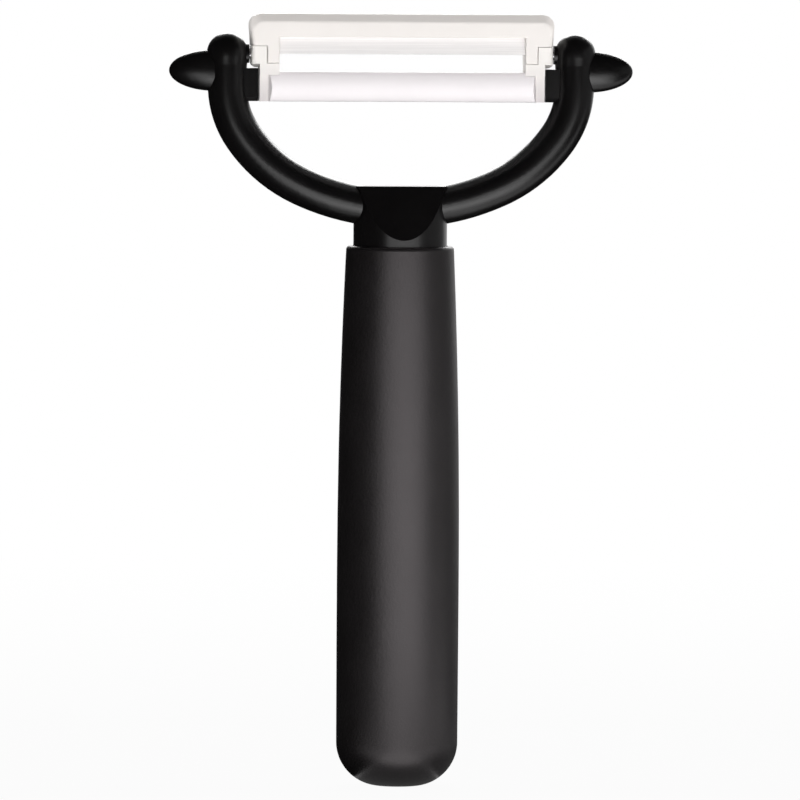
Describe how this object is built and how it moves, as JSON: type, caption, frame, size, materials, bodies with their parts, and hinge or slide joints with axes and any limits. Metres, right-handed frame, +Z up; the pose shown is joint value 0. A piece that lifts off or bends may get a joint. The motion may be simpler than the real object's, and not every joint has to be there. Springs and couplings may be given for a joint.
{
  "type": "vegetable peeler",
  "caption": "Y-shaped vegetable peeler: a ceramic blade in a swivelling guard, held by a round-armed fork with an eye remover on each arm, on a round grip.",
  "frame": {"origin": "centre of the flat butt at the bottom of the grip", "axes": "+Z up the grip to the blade head, +X along the blade, the front of the peeler faces -Y"},
  "size_m": [0.0834, 0.0218, 0.1385],
  "materials": {
    "fork_plastic": "black satin moulding",
    "grip_plastic": "black satin moulding with a very fine grain",
    "head_plastic": "warm white moulding, smooth",
    "blade_ceramic": null,
    "pin_steel": "plain steel pin"
  },
  "bodies": {
    "handle": {"fork": "fork_plastic", "grip_sleeve": "grip_plastic"},
    "blade_head": {"blade_carrier": "head_plastic", "blade_guard": "head_plastic", "guide_bar": "head_plastic", "ceramic_blade": "blade_ceramic", "pivot_pin_left": "pin_steel", "pivot_pin_right": "pin_steel"}
  },
  "joints": [
    {"name": "blade_swivel", "type": "hinge", "parent": "handle", "child": "blade_head", "pos_m": [0, 0, 0.1314], "axis": [1, 0, 0], "range_deg": [-18, 18]}
  ]
}
